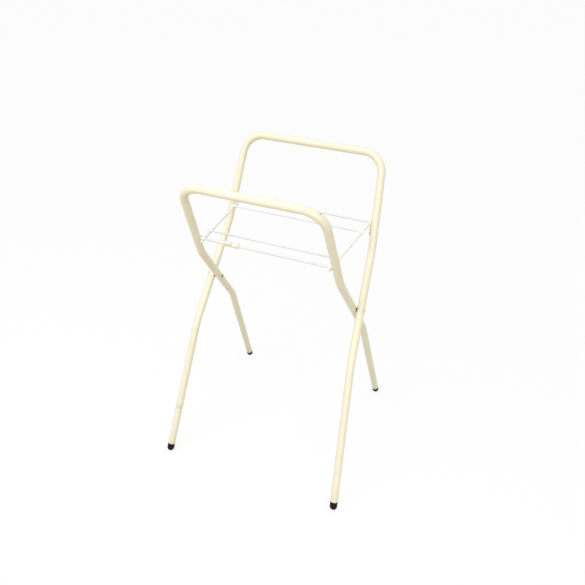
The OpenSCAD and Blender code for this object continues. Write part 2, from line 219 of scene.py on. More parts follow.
class StandStageProps(bpy.types.PropertyGroup):
    """Floor, light and camera."""
    camera_place: spot("Camera", "Place of the camera", (0.5501, -1.2789, 1.4625))
    azimuth: angle("Azimuth", "Direction of the camera round the stand", 22.177)
    elevation: angle("Elevation", "Angle at which the camera looks down", 34.009)
    roll: angle("Roll", "Turn of the camera about its view", 1.035)
    lens: number("Lens", "Focal length in millimetres", 35.40, low=1.0)
    floor: colour("Floor", "Pale floor", (0.930, 0.930, 0.925))
    floor_glow: share("Floor white", "How much of the floor's look is plain white", 0.87)
    floor_bounce: colour("Floor bounce", "Light that the floor sends up to the stand", (0.400, 0.350, 0.230))
    sky: share("Sky", "Strength of the even light from all round", 0.80)
    key: power("Key", "Power of the large soft lamp", 35.0)
    key_size: length("Key size", "Side of the large soft lamp", 2.4)
    key_place: spot("Key place", "Place of the large soft lamp", (-0.8, -1.9, 2.9))
    key_aim: spot("Key aim", "Point that the large soft lamp faces", (0.0, 0.0, 0.5))
    fill: power("Fill", "Power of the front lamp", 14.0)
    fill_size: length("Fill size", "Side of the front lamp", 1.8)
    fill_place: spot("Fill place", "Place of the front lamp", (1.4, -2.4, 1.2))
    fill_aim: spot("Fill aim", "Point that the front lamp faces", (0.0, 0.0, 0.6))


PROPS = {
    "stand_tube": StandTubeProps,
    "stand_pivot": StandPivotProps,
    "stand_plug": StandPlugProps,
    "stand_rack": StandRackProps,
    "stand_seat": StandSeatProps,
    "stand_stage": StandStageProps,
}


ALONG_X = Matrix.Rotation(math.radians(90), 4, "Y")
ALONG_Y = Matrix.Rotation(math.radians(-90), 4, "X")


def mirrored(side):
    """Leaves the right side as it is, and turns it into the left side where side is -1."""
    return Matrix.Diagonal((side, 1, 1, 1))


# Lines of the stand, as in the part's source

def leg_y(tube, z):
    rise = (z - tube.upper_height) / (tube.top_height - tube.upper_height)
    return tube.upper_reach + (tube.top_reach - tube.upper_reach) * rise


def leg_plane(tube, half):
    """Right leg's plane: local Y runs back, local Z up the leg, local X outward."""
    return Matrix.Translation((half, 0, tube.top_height)) @ Matrix.Rotation(-tube.splay, 4, "Y")


def in_plane(tube, reach, height):
    return Vector((reach, (height - tube.top_height) / math.cos(tube.splay)))


def heading(low, high):
    return math.atan2(high.y - low.y, high.x - low.x)


def foot_heading(tube):
    foot = in_plane(tube, -tube.foot_reach, 0.0)
    return heading(foot, in_plane(tube, -tube.lower_reach, tube.lower_height))


def loop_heading(tube):
    bend = in_plane(tube, tube.upper_reach, tube.upper_height)
    return heading(bend, in_plane(tube, tube.top_reach, tube.top_height))


def pivot_x(tube, pivot):
    return tube.outer_half + (tube.top_height - pivot.height) * math.tan(tube.splay)


def on_rack(rack, step, lift=0.0):
    """Rack's plane: local Y runs back from the hinge wire."""
    slope = math.atan2(rack.rear_height - rack.hinge_height, rack.rear_y - rack.hinge_y)
    return (Matrix.Translation((0, rack.hinge_y, rack.hinge_height))
            @ Matrix.Rotation(slope, 4, "X") @ Matrix.Translation((0, step, lift)))


def rack_depth(rack):
    return math.hypot(rack.rear_height - rack.hinge_height, rack.rear_y - rack.hinge_y)


def rack_rows(rack):
    """Crosswise wires: name, step, half length, radius, and height against the front wire."""
    depth = rack_depth(rack)
    drop = rack.mid_radius - rack.rim_radius
    return (("front", 0.0, rack.hinge_half, rack.rim_radius, 0.0),
            ("second", rack.second_step, rack.second_half, rack.mid_radius, drop),
            ("third", depth - rack.third_step, rack.third_half, rack.mid_radius, drop),
            ("rear", depth, rack.rear_half, rack.rim_radius, 0.0))


def end_wire_x(rack, step):
    """Half width of the rack at a step, from the ends of the two middle wires."""
    back = rack_depth(rack) - rack.third_step
    spread = (rack.third_half - rack.second_half) / (back - rack.second_step)
    return rack.second_half - rack.mid_radius + spread * (step - rack.second_step)


def end_wire_turn(rack):
    """Angle at which the end wires spread towards the back."""
    depth = rack_depth(rack)
    return math.atan2(end_wire_x(rack, depth) - end_wire_x(rack, 0.0), depth)


# Mesh work

ON_AXIS = 1e-7  # Radius under which a row of points is one point
WIRE_FACETS = 28
NOISE_STEP = (3.7, 1.3, 2.1)  # Shift of the noise from one seed to the next


def lathe(profile, facets, closed=False):
    """Turns (radius, height) pairs about Z. A radius of 0 makes a point."""
    mesh = bmesh.new()
    turns = [2 * math.pi * i / facets for i in range(facets)]
    rings = []
    for radius, height in profile:
        if radius < ON_AXIS:
            rings.append([mesh.verts.new((0, 0, height))])
        else:
            rings.append(hoop(mesh, turns, [radius] * facets, height))
    pairs = list(zip(rings, rings[1:]))
    if closed:
        pairs.append((rings[-1], rings[0]))
    for low, high in pairs:
        for i in range(facets):
            j = (i + 1) % facets
            corners = [low[i % len(low)], low[j % len(low)], high[j % len(high)], high[i % len(high)]]
            face = [v for k, v in enumerate(corners) if v not in corners[:k]]
            if len(face) > 2:
                mesh.faces.new(face)
    bmesh.ops.recalc_face_normals(mesh, faces=mesh.faces)
    return mesh


def hoop(mesh, turns, radii, height):
    """Points round Z at one height."""
    return [mesh.verts.new((r * math.cos(t), r * math.sin(t), height)) for t, r in zip(turns, radii)]


def arc(centre_r, centre_h, radius, start, end, steps):
    """Points of an arc in a profile, in degrees from the radius axis."""
    turns = [math.radians(start + (end - start) * i / steps) for i in range(steps + 1)]
    return [(max(0.0, centre_r + radius * math.cos(t)), centre_h + radius * math.sin(t)) for t in turns]


def baked(name, mesh):
    """Turns a bmesh into mesh data, and frees it."""
    data = bpy.data.meshes.new(name)
    mesh.to_mesh(data)
    mesh.free()
    return data


def placed(name, data):
    obj = bpy.data.objects.new(name, data)
    bpy.context.scene.collection.objects.link(obj)
    return obj


def piece(name, mesh, matrix, material, body, stands_for=(), sharp=38):
    """Makes an object from a bmesh, puts it in place and lets it ride on a body."""
    mesh.transform(matrix)
    mesh.normal_update()
    bmesh.ops.recalc_face_normals(mesh, faces=mesh.faces)
    if mesh.calc_volume(signed=True) < 0:
        bmesh.ops.reverse_faces(mesh, faces=mesh.faces)
    data = baked(name, mesh)
    data.shade_smooth()
    data.set_sharp_from_angle(angle=math.radians(sharp))
    data.materials.append(material)
    obj = placed(name, data)
    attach(obj, body)
    if stands_for:
        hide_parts(*stands_for)
    return obj


def both_sides(name, node, make, place, material, body):
    """Makes a piece on either side. The place is the right side's, and make is told the side."""
    return [piece(f"{name}_{word}", make(side), mirrored(side) @ place, material, body,
                  [f"{node}_{word}"]) for word, side in SIDES.items()]


def ruffle(mesh, amount, size, seed):
    """Moves points a little along their normals, as thick paint or coating does."""
    mesh.normal_update()
    shift = Vector([seed * step for step in NOISE_STEP])
    for vert in mesh.verts:
        vert.co += vert.normal * amount * noise.noise(vert.co / size + shift)


def settled(obj):
    """Applies an object's modifiers and returns the result as a bmesh."""
    graph = bpy.context.evaluated_depsgraph_get()
    data = obj.evaluated_get(graph).to_mesh()
    mesh = bmesh.new()
    mesh.from_mesh(data)
    obj.evaluated_get(graph).to_mesh_clear()
    bpy.data.objects.remove(obj)
    return mesh


# Finishes

# How far each kind of wear, and the painted shade round the pivot, takes the paint towards the colour of dust
RUBBED, GRIMY, RINGED, SWEPT_AND_SHADED = 0.22, 0.35, 0.34, 0.60

# Scales of a noise that draw it out upright
DOWN_THE_TUBE, DOWN_THE_PLUG = (1.0, 1.0, 0.16), (1.0, 1.0, 0.2)


def add_node(tree, kind, inputs=(), **settings):
    """Adds a node with its settings, and fills each input with a value or links it to a socket."""
    made = tree.nodes.new(kind)
    for name, value in settings.items():
        setattr(made, name, value)
    for key, value in dict(inputs).items():
        if isinstance(value, bpy.types.NodeSocket):
            tree.links.new(value, made.inputs[key])
        else:
            made.inputs[key].default_value = value
    return made


class Finish:
    """A node material with one shader, and short calls for its nodes."""

    def __init__(self, name, base, roughness, **sockets):
        self.material = bpy.data.materials.new(name)
        self.material.use_nodes = True
        self.tree = self.material.node_tree
        self.shader = self.tree.nodes["Principled BSDF"]
        self.set("Base Color", (*base, 1))
        self.set("Roughness", roughness)
        for socket, value in sockets.items():
            self.set(socket.replace("_", " "), value)
        self.place = self.tree.nodes.new("ShaderNodeTexCoord").outputs["Object"]

    def set(self, socket, value):
        self.shader.inputs[socket].default_value = value

    def to(self, socket, output):
        self.tree.links.new(output, self.shader.inputs[socket])

    def node(self, kind, inputs=(), **settings):
        return add_node(self.tree, kind, inputs, **settings)

    def math(self, operation, a, b=0.0):
        return self.node("ShaderNodeMath", {0: a, 1: b}, operation=operation).outputs[0]

    def plus(self, a, b):
        return self.math("ADD", a, b)

    def minus(self, a, b):
        return self.math("SUBTRACT", a, b)

    def times(self, a, b):
        return self.math("MULTIPLY", a, b)

    def larger(self, a, b):
        return self.math("MAXIMUM", a, b)

    def vector(self, operation, a, b=(0.0, 0.0, 0.0), output="Value"):
        return self.node("ShaderNodeVectorMath", {0: a, 1: b}, operation=operation).outputs[output]

    def axes(self):
        parts = self.node("ShaderNodeSeparateXYZ", {0: self.place}).outputs
        return parts[0], parts[1], parts[2]

    def off_axis(self, y, z):
        """Distance from a line along X, from the distances to it in Y and Z."""
        return self.vector("LENGTH", self.node("ShaderNodeCombineXYZ", {1: y, 2: z}).outputs[0])

    def band(self, value, low, high, out_low=0.0, out_high=1.0):
        """Smooth step of a value."""
        return self.node("ShaderNodeMapRange", {0: value, 1: low, 2: high, 3: out_low, 4: out_high},
                         interpolation_type="SMOOTHSTEP").outputs[0]

    def fade(self, value, full, gone):
        """1 up to one value, 0 from another on."""
        return self.band(value, full, gone, 1.0, 0.0)

    def near(self, centre, full, gone):
        """1 within full metres of a point, 0 beyond gone metres."""
        return self.fade(self.vector("DISTANCE", self.place, centre), full, gone)

    def noise(self, size, detail=3.0, stretch=None, rough=0.5):
        """Noise whose ripples are about size metres wide."""
        place = self.place
        if stretch:
            place = self.node("ShaderNodeMapping", {"Vector": place, "Scale": stretch}).outputs[0]
        return self.node("ShaderNodeTexNoise", {"Vector": place, "Scale": 1 / size, "Detail": detail,
                                                "Roughness": rough}).outputs["Fac"]

    def spots(self, size, start, full, least=0.0, most=1.0, **noise_settings):
        """Soft spots about size metres wide, where the noise passes from start to full."""
        return self.band(self.noise(size, **noise_settings), start, full, least, most)

    def uneven(self, size, roughness, smoother, rougher, **noise_settings):
        """Roughness that varies in spots about size metres wide."""
        return self.spots(size, 0.30, 0.75, roughness - smoother, roughness + rougher, **noise_settings)

    def mix(self, factor, a, b):
        """Mix of two colours. Each is a tone or comes from another node."""
        a, b = (tone if isinstance(tone, bpy.types.NodeSocket) else (*tone, 1) for tone in (a, b))
        return self.node("ShaderNodeMix", {0: factor, 6: a, 7: b}, data_type="RGBA").outputs[2]

    def bump(self, height, depth, below=None):
        """Relief up to depth metres high, on top of the one below."""
        under = {} if below is None else {"Normal": below}
        inputs = {"Strength": 1.0, "Distance": depth, "Height": height, **under}
        return self.node("ShaderNodeBump", inputs).outputs["Normal"]


def toned(tone, share_kept):
    """A colour made darker, or lighter where the share is above 1."""
    return [part * share_kept for part in tone]


def ring_mark(look, centre, axis, width):
    """Rubbed ring round a leg, broken here and there."""
    along = look.vector("DOT_PRODUCT", look.vector("SUBTRACT", look.place, centre, "Vector"), axis)
    band = look.fade(look.math("ABSOLUTE", along), width * 0.28, width * 0.62)
    band = look.times(band, look.near(centre, full=0.02, gone=0.03))
    return look.times(band, look.spots(size=0.005, detail=4.0, start=0.30, full=0.60, least=0.35))


def turning_wear_and_shade(look, tube, pivot, x, from_pivot, worn_inside):
    """Wear and painted shade round the pivot, on the side of a leg that faces the other frame."""
    middle = pivot_x(tube, pivot) - tube.tube_radius - pivot.spacer_thickness
    before, behind = (1.0, 0.0) if worn_inside else (0.0, 1.0)
    facing = look.band(look.math("ABSOLUTE", x), middle - 0.003, middle + 0.002, before, behind)
    swept_and_shaded = look.times(look.fade(from_pivot, full=0.014, gone=0.040), facing)
    return look.times(swept_and_shaded, look.spots(size=0.004, detail=4.0, start=0.42, full=0.60))


def cream_paint(name, tube, pivot, worn_inside, chip=None, rubbed_ring=None):
    """Sprayed cream paint: ripples, thicker patches, dust low down, rubbed places, and painted shade round
    the pivot where the legs face each other.
    """
    look = Finish(name, tube.paint, tube.roughness, Coat_Weight=0.35, Coat_Roughness=0.12)
    x, y, z = look.axes()
    from_pivot = look.off_axis(y, look.minus(z, pivot.height))

    thick = look.spots(size=0.11, start=0.38, full=0.66)
    cloud = look.spots(size=0.014, detail=4.0, start=0.35, full=0.75, most=0.16)
    specks = look.spots(size=0.0016, detail=2.0, start=0.71, full=0.80, most=0.30)
    tone = look.mix(thick, tube.paint, tube.paint_warm)
    tone = look.mix(cloud, tone, tube.paint_warm)
    tone = look.mix(specks, tone, tube.dust)

    streaks = look.spots(size=0.006, detail=5.0, stretch=DOWN_THE_TUBE, rough=0.6, start=0.66, full=0.76)
    patches = look.spots(size=0.09, detail=2.0, start=0.50, full=0.62)
    floor_grime_and_groove_shade = look.times(look.fade(z, full=0.012, gone=0.085),
                       look.spots(size=0.012, detail=4.0, start=0.40, full=0.70))
    worn = look.larger(look.times(look.times(streaks, patches), RUBBED), look.times(floor_grime_and_groove_shade, GRIMY))
    if rubbed_ring:
        worn = look.larger(worn, look.times(ring_mark(look, *rubbed_ring), RINGED))
    # Painted shade between the tubes round the pivot, with rubbed wear there; from here on the worn mask
    # holds this painted shade too.
    swept_and_shaded = turning_wear_and_shade(look, tube, pivot, x, from_pivot, worn_inside)
    worn = look.larger(worn, look.times(swept_and_shaded, SWEPT_AND_SHADED))
    tone = look.mix(worn, tone, tube.dust)

    flakes = look.spots(size=0.0035, detail=5.0, rough=0.65, start=0.60, full=0.63)
    chips = look.times(flakes, look.fade(from_pivot, full=0.009, gone=0.015))
    if chip:
        centre, size = chip
        ragged = look.spots(size=0.0020, start=0.36, full=0.42)
        chips = look.larger(chips, look.times(look.near(centre, size * 0.4, size), ragged))
    look.to("Base Color", look.mix(chips, tone, tube.primer))

    gloss = look.uneven(0.03, tube.roughness, smoother=0.05, rougher=0.07, detail=4.0)
    gloss = look.plus(gloss, look.times(worn, 0.5))
    look.to("Roughness", look.plus(gloss, look.times(chips, 0.3)))
    ripple = look.bump(look.noise(tube.peel, detail=2.0), depth=0.00004)
    sag = look.bump(look.noise(0.016, detail=2.0), depth=0.00010, below=ripple)
    look.to("Normal", look.bump(look.minus(1.0, chips), depth=0.00012, below=sag))
    return look.material


def dip_coating(name, base, roughness):
    """Coating that a dipped wire gets: even, slightly lumpy, dusty in places."""
    look = Finish(name, base, roughness, Coat_Weight=0.15, Coat_Roughness=0.2)
    dust = toned(base, 0.885)
    dusty = look.spots(size=0.020, detail=4.0, start=0.40, full=0.72, most=0.45)
    specks = look.spots(size=0.0022, start=0.68, full=0.76, most=0.5)
    look.to("Base Color", look.mix(specks, look.mix(dusty, base, dust), dust))
    look.to("Roughness", look.uneven(0.008, roughness, smoother=0.06, rougher=0.12))
    ripple = look.bump(look.noise(0.0030, detail=2.0), depth=0.00006)
    look.to("Normal", look.bump(look.noise(0.0007, detail=2.0), depth=0.00001, below=ripple))
    return look.material


def rubber(name, base, dusty_base, roughness):
    """Dark rubber or soft plastic with a fine grain, dusty towards the floor."""
    look = Finish(name, base, roughness, Specular_IOR_Level=0.14)
    near_floor = look.fade(look.axes()[2], full=0.0, gone=0.007)
    patches = look.spots(size=0.0035, detail=5.0, start=0.38, full=0.68, least=0.4)
    film = look.spots(size=0.0060, detail=4.0, start=0.48, full=0.75, most=0.30)
    dusty = look.larger(look.times(near_floor, patches), film)
    look.to("Base Color", look.mix(dusty, base, dusty_base))
    look.to("Roughness", look.band(dusty, 0.0, 1.0, roughness - 0.04, roughness + 0.32))
    grain = look.bump(look.noise(0.0006, detail=2.0), depth=0.00003)
    scratches = look.noise(0.0018, detail=4.0, stretch=DOWN_THE_PLUG)
    look.to("Normal", look.bump(scratches, depth=0.00005, below=grain))
    return look.material


def steel(name, base, worn, roughness):
    """Bare metal that is brighter or duller where it is rubbed."""
    look = Finish(name, base, roughness, Metallic=0.85)
    rubbed = look.spots(size=0.0022, detail=4.0, start=0.50, full=0.74)
    look.to("Base Color", look.mix(rubbed, base, worn))
    look.to("Roughness", look.uneven(0.0011, roughness, smoother=0.10, rougher=0.18))
    look.to("Normal", look.bump(look.noise(0.0008), depth=0.00004))
    return look.material


def moulded(name, base, shade, roughness):
    """Moulded plastic with a slight cloud in its colour and a fine skin."""
    look = Finish(name, base, roughness)
    cloud = look.spots(size=0.005, detail=4.0, start=0.35, full=0.72)
    specks = look.spots(size=0.0012, start=0.68, full=0.76, most=0.4)
    look.to("Base Color", look.mix(specks, look.mix(cloud, base, shade), toned(shade, 0.62)))
    look.to("Roughness", look.uneven(0.0024, roughness, smoother=0.07, rougher=0.12))
    look.to("Normal", look.bump(look.noise(0.0009), depth=0.00003))
    return look


def sleeve_plastic(rack, run):
    """Cream plastic of the sleeve: paler above its groove, with painted shade in the groove."""
    look = moulded("sleeve_plastic", rack.sleeve, toned(rack.sleeve, 0.96), 0.46)
    x, y, z = look.axes()
    out, up = look.minus(y, rack.hinge_y), look.minus(z, rack.hinge_height)
    turn_up = SLEEVE_LOW.x + run * rack.groove_end
    left = look.fade(x, full=turn_up - 0.0008, gone=turn_up + 0.0012)
    past = look.plus(look.times(out, math.cos(rack.groove_turn)), look.times(up, math.sin(rack.groove_turn)))
    above = look.times(left, look.fade(past, full=-0.0006, gone=-0.0001))
    outside = rack.sleeve_radius
    deep = look.fade(look.off_axis(out, up), full=outside - 0.0016, gone=outside - 0.0008)
    plain = look.shader.inputs["Base Color"].links[0].from_socket
    lip = look.mix(above, plain, rack.sleeve_lip)
    # Painted shade: the bottom of the groove along the sleeve's left part is darkened.
    look.to("Base Color", look.mix(look.times(left, deep), lip, rack.floor_grime_and_groove_shade))
    return look.material


def give(node, material):
    """Puts a finish on a solid that is kept as it is."""
    holder = frame["nodes"][node]
    for slot in holder.material_slots:
        slot.link = "OBJECT"
        slot.material = material


# Pieces

class STAND_OT_tube_frames(bpy.types.Operator):
    """Paint the two bent tube frames"""
    bl_idname = "bath_stand.tube_frames"
    bl_label = "Tube frames"

    def execute(self, context):
        tube, pivot = context.scene.stand_tube, context.scene.stand_pivot
        corner = Vector((tube.inner_half, -tube.top_reach, tube.top_height))
        chip = (corner + Vector(tube.chip_offset), tube.chip_size)
        ring = self.rubbed_ring(tube)
        give("outer_frame", cream_paint("outer_frame_paint", tube, pivot, worn_inside=True,
                                        rubbed_ring=ring))
        give("inner_frame", cream_paint("inner_frame_paint", tube, pivot, worn_inside=False, chip=chip))
        return {"FINISHED"}

    def rubbed_ring(self, tube):
        """Centre, axis and width of the rubbed ring on the front left leg."""
        slope = foot_heading(tube)
        up_leg = Vector((0, math.cos(slope), math.sin(slope)))
        plane = mirrored(SIDES["left"]) @ leg_plane(tube, tube.outer_half)
        foot = Vector((0, *in_plane(tube, -tube.foot_reach, 0.0)))
        run = tube.ring_height / (math.sin(slope) * math.cos(tube.splay))
        return plane @ (foot + up_leg * run), (plane.to_3x3() @ up_leg).normalized(), tube.ring_width


class STAND_OT_pivot_rivets(bpy.types.Operator):
    """Make the two domed rivets that the frames turn on"""
    bl_idname = "bath_stand.pivot_rivets"
    bl_label = "Pivot rivets"

    # Radius, and depth under the head's top
    DIMPLE = ((0.0, 0.00022), (0.0009, 0.00020), (0.0014, 0.00008))

    def execute(self, context):
        pivot = context.scene.stand_pivot
        dark = steel("dark_rivet_steel", pivot.steel, pivot.steel_worn, pivot.steel_roughness)
        paint = bpy.data.materials["outer_frame_paint"]
        place = Matrix.Translation((0, 0, pivot.height)) @ ALONG_X
        for rivet in both_sides("rivet", "pivot_rivet", lambda side: self.rivet(pivot), place, dark,
                                "outer"):
            rivet.data.materials.append(paint)
        return {"FINISHED"}

    def rivet(self, pivot):
        """Rivet whose outer head takes the second material, the paint."""
        mesh = lathe(self.profile(pivot), facets=64)
        for face in mesh.faces:
            face.material_index = int(face.calc_center_median().z > pivot.outer_end - pivot.head_height)
        return mesh

    def profile(self, pivot):
        """Inner head, shank and outer head, from inside to outside."""
        inner = self.head(pivot)
        low = [(r, pivot.inner_end + pivot.head_height - h) for r, h in inner]
        high = [(r, pivot.outer_end - pivot.head_height + h) for r, h in reversed(inner)]
        return low + high

    def head(self, pivot):
        """Set head from its top to the shank: a small dimple, a dome and a rounded rim."""
        radius, height = pivot.head_radius, pivot.head_height
        lip, edge, corner, steps = 0.0016, 0.0003, 0.00025, 12
        rim = height * 0.35
        dome = height - rim
        ball = (radius * radius + dome * dome) / (2 * dome)
        points = [(r, height - depth) for r, depth in self.DIMPLE]
        for i in range(1, steps + 1):
            r = lip + (radius - edge - lip) * i / steps
            points.append((r, height - ball + math.sqrt(ball * ball - r * r)))
        points += [(radius - 0.00008, rim * 0.98), (radius, rim * 0.75), (radius, corner),
                   (radius - corner, 0.0), (pivot.shank_radius, 0.0)]
        return points


class STAND_OT_pivot_spacers(bpy.types.Operator):
    """Make the washers that keep the two tubes apart"""
    bl_idname = "bath_stand.pivot_spacers"
    bl_label = "Pivot spacers"

    def execute(self, context):
        tube, pivot = context.scene.stand_tube, context.scene.stand_pivot
        dark = rubber("dark_spacer_plastic", pivot.plastic, toned(pivot.plastic, 2), 0.5)
        thick, edge, play = pivot.spacer_thickness, 0.00025, 0.00006
        hole, rim = pivot.shank_radius + play, pivot.spacer_radius
        profile = [(hole, edge), (hole + edge, 0), (rim - edge, 0), (rim, edge),
                   (rim, thick - edge), (rim - edge, thick), (hole + edge, thick), (hole, thick - edge)]
        drop = (pivot.height - tube.top_height) / math.cos(tube.splay)
        place = (leg_plane(tube, tube.outer_half) @ Matrix.Translation((-tube.tube_radius - thick, 0, drop))
                 @ ALONG_X)
        both_sides("spacer", "pivot_spacer", lambda side: lathe(profile, facets=64, closed=True), place,
                   dark, "outer")
        return {"FINISHED"}


class STAND_OT_foot_plugs(bpy.types.Operator):
    """Make the black plugs that close the tubes and stand on the floor"""
    bl_idname = "bath_stand.foot_plugs"
    bl_label = "Foot plugs"

    # Distance out from the collar, and height above the dome or below the tube
    MOULD_LINE = ((0.00006, 0.0002), (0.0, 0.0005))
    GROOVE = ((-0.00002, -0.0016), (-0.00022, -0.0013), (-0.00002, -0.0010))
    # Distance in from the tube's bore, and under the stem's end
    TIP = ((0.0007, 0.0008), (0.0015, 0.0))

    def execute(self, context):
        tube, plug = context.scene.stand_tube, context.scene.stand_plug
        black = rubber("black_plug_rubber", plug.rubber, plug.rubber_dusty, plug.roughness)
        for row, half, body, turn in (("front", tube.outer_half, "outer", 1),
                                      ("rear", tube.inner_half, "inner", -1)):
            for name, side in SIDES.items():
                foot = in_plane(tube, -tube.foot_reach, 0.0)
                place = (Matrix.Diagonal((side, turn, 1, 1)) @ leg_plane(tube, half)
                         @ Matrix.Translation((0, foot.x, foot.y))
                         @ Matrix.Rotation(foot_heading(tube) - math.radians(90), 4, "X"))
                mesh = lathe(self.profile(tube, plug), facets=72)
                mesh.transform(place)
                self.cut_flat(mesh)
                piece(f"plug_{row}_{name}", mesh, Matrix.Identity(4), black, body,
                      [f"foot_plug_{row}_{name}"])
        return {"FINISHED"}

    def cut_flat(self, mesh):
        """Cuts off what is under the floor, and closes the cut."""
        cut = bmesh.ops.bisect_plane(mesh, geom=mesh.verts[:] + mesh.edges[:] + mesh.faces[:],
                                     plane_co=(0, 0, 0), plane_no=(0, 0, -1), clear_outer=True)
        rim = [part for part in cut["geom_cut"] if isinstance(part, bmesh.types.BMEdge)]
        bmesh.ops.contextual_create(mesh, geom=rim)

    def profile(self, tube, plug):
        """Round end, moulding line, collar with a groove under the tube, and a barbed stem."""
        radius, bore, edge = tube.tube_radius - plug.step, tube.bore_radius, 0.0002
        rise = math.sin(foot_heading(tube)) * math.cos(tube.splay)
        centre = math.sqrt(radius ** 2 - plug.flat ** 2 / 4) / rise
        top = centre + plug.collar
        end = top + plug.stem
        points = [(0.0, centre - radius)] + arc(0, centre, radius, -88, -2, 26)
        points += [(radius + out, centre + up) for out, up in self.MOULD_LINE]
        points += [(radius + out, top + up) for out, up in self.GROOVE]
        points += [(radius, top - edge), (radius - edge, top), (bore, top)]
        barbs, gap, barb_depth, barb_rise = 3, 0.003, 0.0006, 0.004
        for i in range(barbs):
            barb = top + gap + i * (plug.stem - barb_rise) / barbs
            points += [(bore - barb_depth, barb), (bore, barb + barb_rise)]
        points += [(bore - inward, end - under) for inward, under in self.TIP]
        return points + [(0.0, end)]


class STAND_OT_rack_wires(bpy.types.Operator):
    """Make the coated wires of the rack"""
    bl_idname = "bath_stand.rack_wires"
    bl_label = "Rack wires"

    END_SEED = 7

    def execute(self, context):
        rack = context.scene.stand_rack
        coating = dip_coating("white_dip_coating", rack.coating, rack.coating_roughness)
        # The second coating is the dip coat made creamier and lighter: painted light on the end wires and
        # welds.
        painted_light_coating = dip_coating("painted_light_dip_coating", rack.end_coating_with_painted_light, rack.coating_roughness)
        for seed, (name, step, half, radius, lift) in enumerate(rack_rows(rack)):
            mesh = self.wire(radius, 2 * half, name != "front", seed)
            place = on_rack(rack, step, lift) @ Matrix.Translation((-half, 0, 0)) @ ALONG_X
            piece(f"wire_{name}", mesh, place, coating, "rack", [f"rack_wire_{name}"])
        turn = end_wire_turn(rack)
        run = rack_depth(rack) / math.cos(turn) + 2 * rack.rim_radius
        place = (on_rack(rack, 0.0) @ Matrix.Translation((end_wire_x(rack, 0.0), 0, -rack.end_drop))
                 @ Matrix.Rotation(-turn, 4, "Z") @ ALONG_Y @ Matrix.Translation((0, 0, -rack.rim_radius)))
        both_sides("end_wire", "rack_end_wire",
                   lambda side: self.wire(rack.rim_radius, run, True, self.END_SEED + side), place,
                   painted_light_coating, "rack")
        return {"FINISHED"}

    def wire(self, radius, run, lumpy, seed):
        """Straight wire with rounded ends. The coating is a little uneven away from the bushes."""
        tip, spacing = 0.0012, 0.0035
        quarter = [math.radians(15 * i) for i in range(7)]
        points = [(0.0, 0.0)]
        points += [(radius - tip + tip * math.sin(t), tip - tip * math.cos(t)) for t in quarter]
        end = len(points)
        steps = max(8, round((run - 2 * tip) / spacing))
        points += [(radius, tip + (run - 2 * tip) * i / steps) for i in range(1, steps)]
        points += [(r, run - h) for r, h in reversed(points[:end])]
        mesh = lathe(points, WIRE_FACETS)
        if lumpy:
            ruffle(mesh, amount=0.00006, size=0.006, seed=seed)
            ruffle(mesh, amount=0.00004, size=0.0022, seed=seed + 20)
        return mesh


class STAND_OT_rack_welds(bpy.types.Operator):
    """Make the thick places where the coating has run round the welds"""
    bl_idname = "bath_stand.rack_welds"
    bl_label = "Rack welds"

    # How far the coating stands out at a weld, and how far its ends lie under the wire's skin
    SWELL, SINK = 0.00042, 0.00012
    BEAD, BEAD_STRETCH = 0.0022, (1.6, 1.6, 1.1, 1)
    VOXEL = 0.00030

    def execute(self, context):
        rack = context.scene.stand_rack
        # The welds take the lighter coating, painted light like the end wires.
        coating = bpy.data.materials["painted_light_dip_coating"]
        turn = end_wire_turn(rack)
        for seed, (row, step, half, radius, lift) in enumerate(rack_rows(rack)):
            for name, side in SIDES.items():
                mesh = self.run_of_coating(rack, turn, radius, lift, seed * 2 + (side > 0))
                place = (mirrored(side) @ on_rack(rack, step)
                         @ Matrix.Translation((end_wire_x(rack, step), 0, 0)))
                piece(f"weld_{row}_{name}", mesh, place, coating, "rack", sharp=80)
        return {"FINISHED"}

    def run_of_coating(self, rack, turn, radius, lift, seed):
        """Two short swollen sleeves, one on each wire, melted into one another."""
        mesh = bmesh.new()
        across = Matrix.Translation((0, 0, lift)) @ ALONG_X
        along_end = (Matrix.Translation((0, 0, -rack.end_drop)) @ Matrix.Rotation(-turn, 4, "Z")
                     @ ALONG_Y)
        for place, wire in ((across, radius), (along_end, rack.rim_radius)):
            self.add(mesh, self.barrel(wire, rack.weld_spread), place)
        drop = (Matrix.Translation((0, 0, rack.rim_radius - rack.end_drop))
                @ Matrix.Diagonal(self.BEAD_STRETCH))
        bead = lathe([(0.0, -self.BEAD)] + arc(0, 0, self.BEAD, -80, 80, 12) + [(0.0, self.BEAD)], facets=20)
        self.add(mesh, bead, drop)
        blank = placed("blank", baked("blank", mesh))
        remesh = blank.modifiers.new("melt", "REMESH")
        remesh.mode = "VOXEL"
        remesh.voxel_size = self.VOXEL
        smooth = blank.modifiers.new("flow", "SMOOTH")
        smooth.factor = 0.6
        smooth.iterations = 10
        mesh = settled(blank)
        ruffle(mesh, amount=0.00006, size=0.0025, seed=seed + 40)
        return mesh

    def add(self, mesh, part, place):
        part.transform(place)
        data = baked("part", part)
        mesh.from_mesh(data)
        bpy.data.meshes.remove(data)

    def barrel(self, radius, spread):
        """Sleeve that is thickest in the middle and sinks into the wire at its ends."""
        points, half_steps = [(0.0, -spread)], 6
        for i in range(2 * half_steps + 1):
            t = -1 + i / half_steps
            swell = (self.SWELL + self.SINK) * (1 - t * t) ** 1.4
            points.append((radius - self.SINK + swell, spread * t))
        return lathe(points + [(0.0, spread)], WIRE_FACETS)


